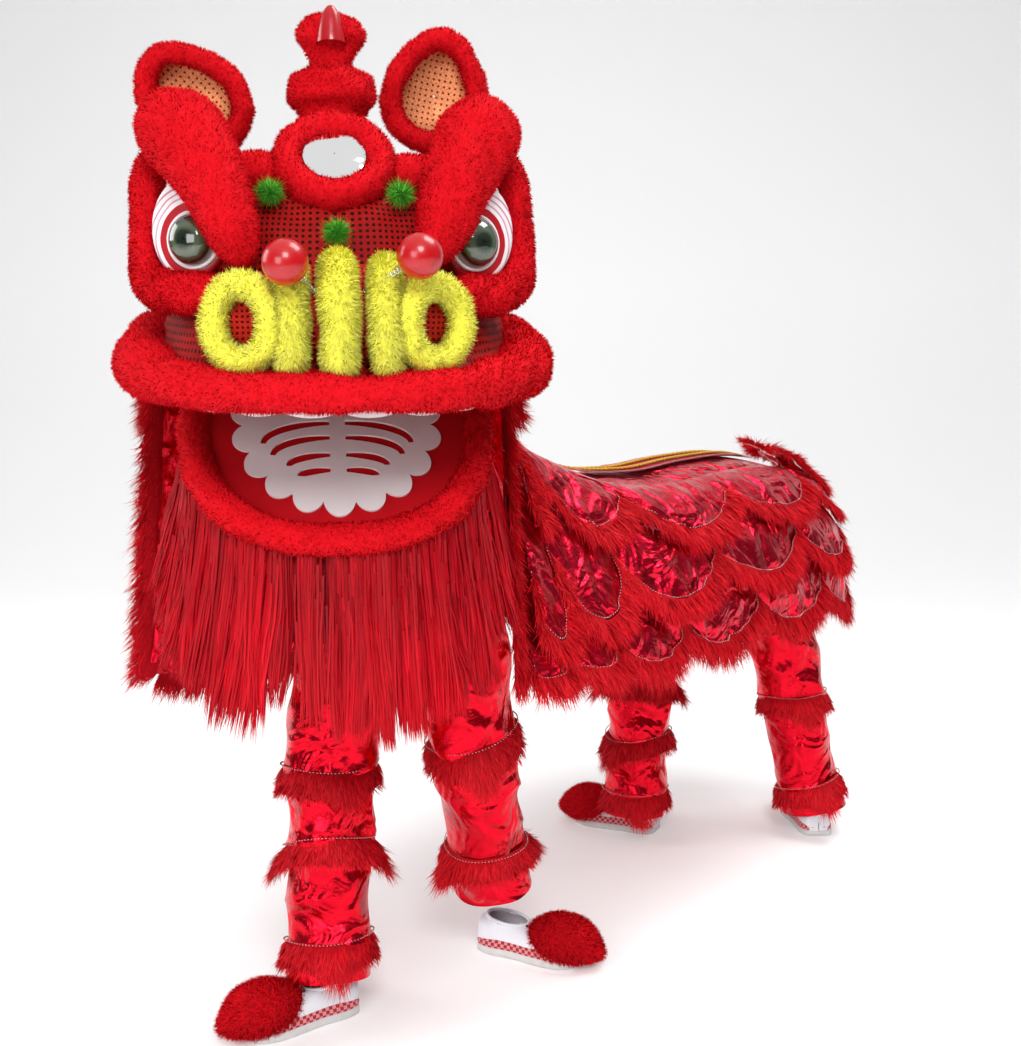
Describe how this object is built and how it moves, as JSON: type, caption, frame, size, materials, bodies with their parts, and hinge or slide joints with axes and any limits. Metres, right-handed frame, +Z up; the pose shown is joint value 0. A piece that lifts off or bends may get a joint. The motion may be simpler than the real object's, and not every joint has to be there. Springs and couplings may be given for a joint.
{
  "type": "lion dance costume",
  "caption": "Red two-person lion dance costume: padded fur head with horn and open jaw, tiered foil and fur body, trousers and fur-toed shoes.",
  "frame": {"origin": "middle of the bar inside the head that the dancer in front carries the head by", "axes": "+Z up, +Y from the head back along the body to the rump, +X to the side that the head is turned towards"},
  "size_m": [0.7695, 2.08, 1.7717],
  "materials": {
    "plush_red": "matt short plush",
    "sequin_red": "glittering with fine dark dots",
    "foil_red": "crumpled metallic foil cloth",
    "fur_red": "long silky fur",
    "fur_yellow": "matt plush",
    "gloss_red": "glossy",
    "white_board": "matt white sheet",
    "shoe_white": "white canvas and rubber",
    "eye_glass": "polished dark dome",
    "mirror_silver": "polished",
    "tinsel_green": "metallic strips",
    "gilded_cloth": "shiny salmon gold with dark dots",
    "bar_wood": "plain round bar"
  },
  "bodies": {
    "costume": {"head_shell": "sequin_red", "carry_bar": "bar_wood", "lip_roll": "plush_red", "upper_teeth": "white_board", "brow_left": "plush_red", "cheek_left": "plush_red", "eye_panel_left": "white_board", "eyeball_left": "eye_glass", "brow_right": "plush_red", "cheek_right": "plush_red", "eye_panel_right": "white_board", "eyeball_right": "eye_glass", "nose_pad": "sequin_red", "nose_fur_centre": "fur_yellow", "nose_fur_left": "fur_yellow", "nose_fur_right": "fur_yellow", "mirror_ring": "plush_red", "mirror": "mirror_silver", "horn": "plush_red", "horn_tip": "gloss_red", "tinsel_pom_1": "tinsel_green", "tinsel_pom_2": "tinsel_green", "tinsel_pom_3": "tinsel_green", "feeler_left": "gloss_red", "feeler_right": "gloss_red", "body_cloth": "foil_red", "tier_1": "foil_red", "tier_2": "foil_red", "tier_3": "foil_red", "collar": "fur_red", "spine_strip": "sequin_red", "tail": "fur_red", "front_trousers": "foil_red", "front_left_frill_1": "fur_red", "front_left_frill_2": "fur_red", "front_left_frill_3": "fur_red", "front_right_frill_1": "fur_red", "front_right_frill_2": "fur_red", "front_shoe_left": "shoe_white", "front_paw_left": "fur_red", "front_shoe_right": "shoe_white", "front_paw_right": "fur_red", "rear_trousers": "foil_red", "rear_left_frill_1": "fur_red", "rear_left_frill_2": "fur_red", "rear_left_frill_3": "fur_red", "rear_right_frill_1": "fur_red", "rear_right_frill_2": "fur_red", "rear_shoe_left": "shoe_white", "rear_paw_left": "fur_red", "rear_shoe_right": "shoe_white", "rear_paw_right": "fur_red"},
    "jaw": {"jaw_board": "plush_red", "jaw_roll": "plush_red", "tongue": "white_board", "beard": "fur_red"},
    "ear_left": {"ear_cup_left": "gilded_cloth", "ear_rim_left": "plush_red"},
    "ear_right": {"ear_cup_right": "gilded_cloth", "ear_rim_right": "plush_red"}
  },
  "joints": [
    {"name": "jaw_hinge", "type": "hinge", "parent": "costume", "child": "jaw", "pos_m": [-0.06834, 0.06599, -0.105], "axis": [-0.6947, -0.7193, 0], "range_deg": [0, 23]},
    {"name": "ear_left_hinge", "type": "hinge", "parent": "costume", "child": "ear_left", "pos_m": [-0.1836, -0.0479, 0.25], "axis": [-0.7193, 0.6947, 0], "range_deg": [-10, 14], "stiffness_Nm_per_rad": 5},
    {"name": "ear_right_hinge", "type": "hinge", "parent": "costume", "child": "ear_right", "pos_m": [0.04147, 0.18516, 0.25], "axis": [-0.7193, 0.6947, 0], "range_deg": [-14, 10], "stiffness_Nm_per_rad": 5}
  ]
}
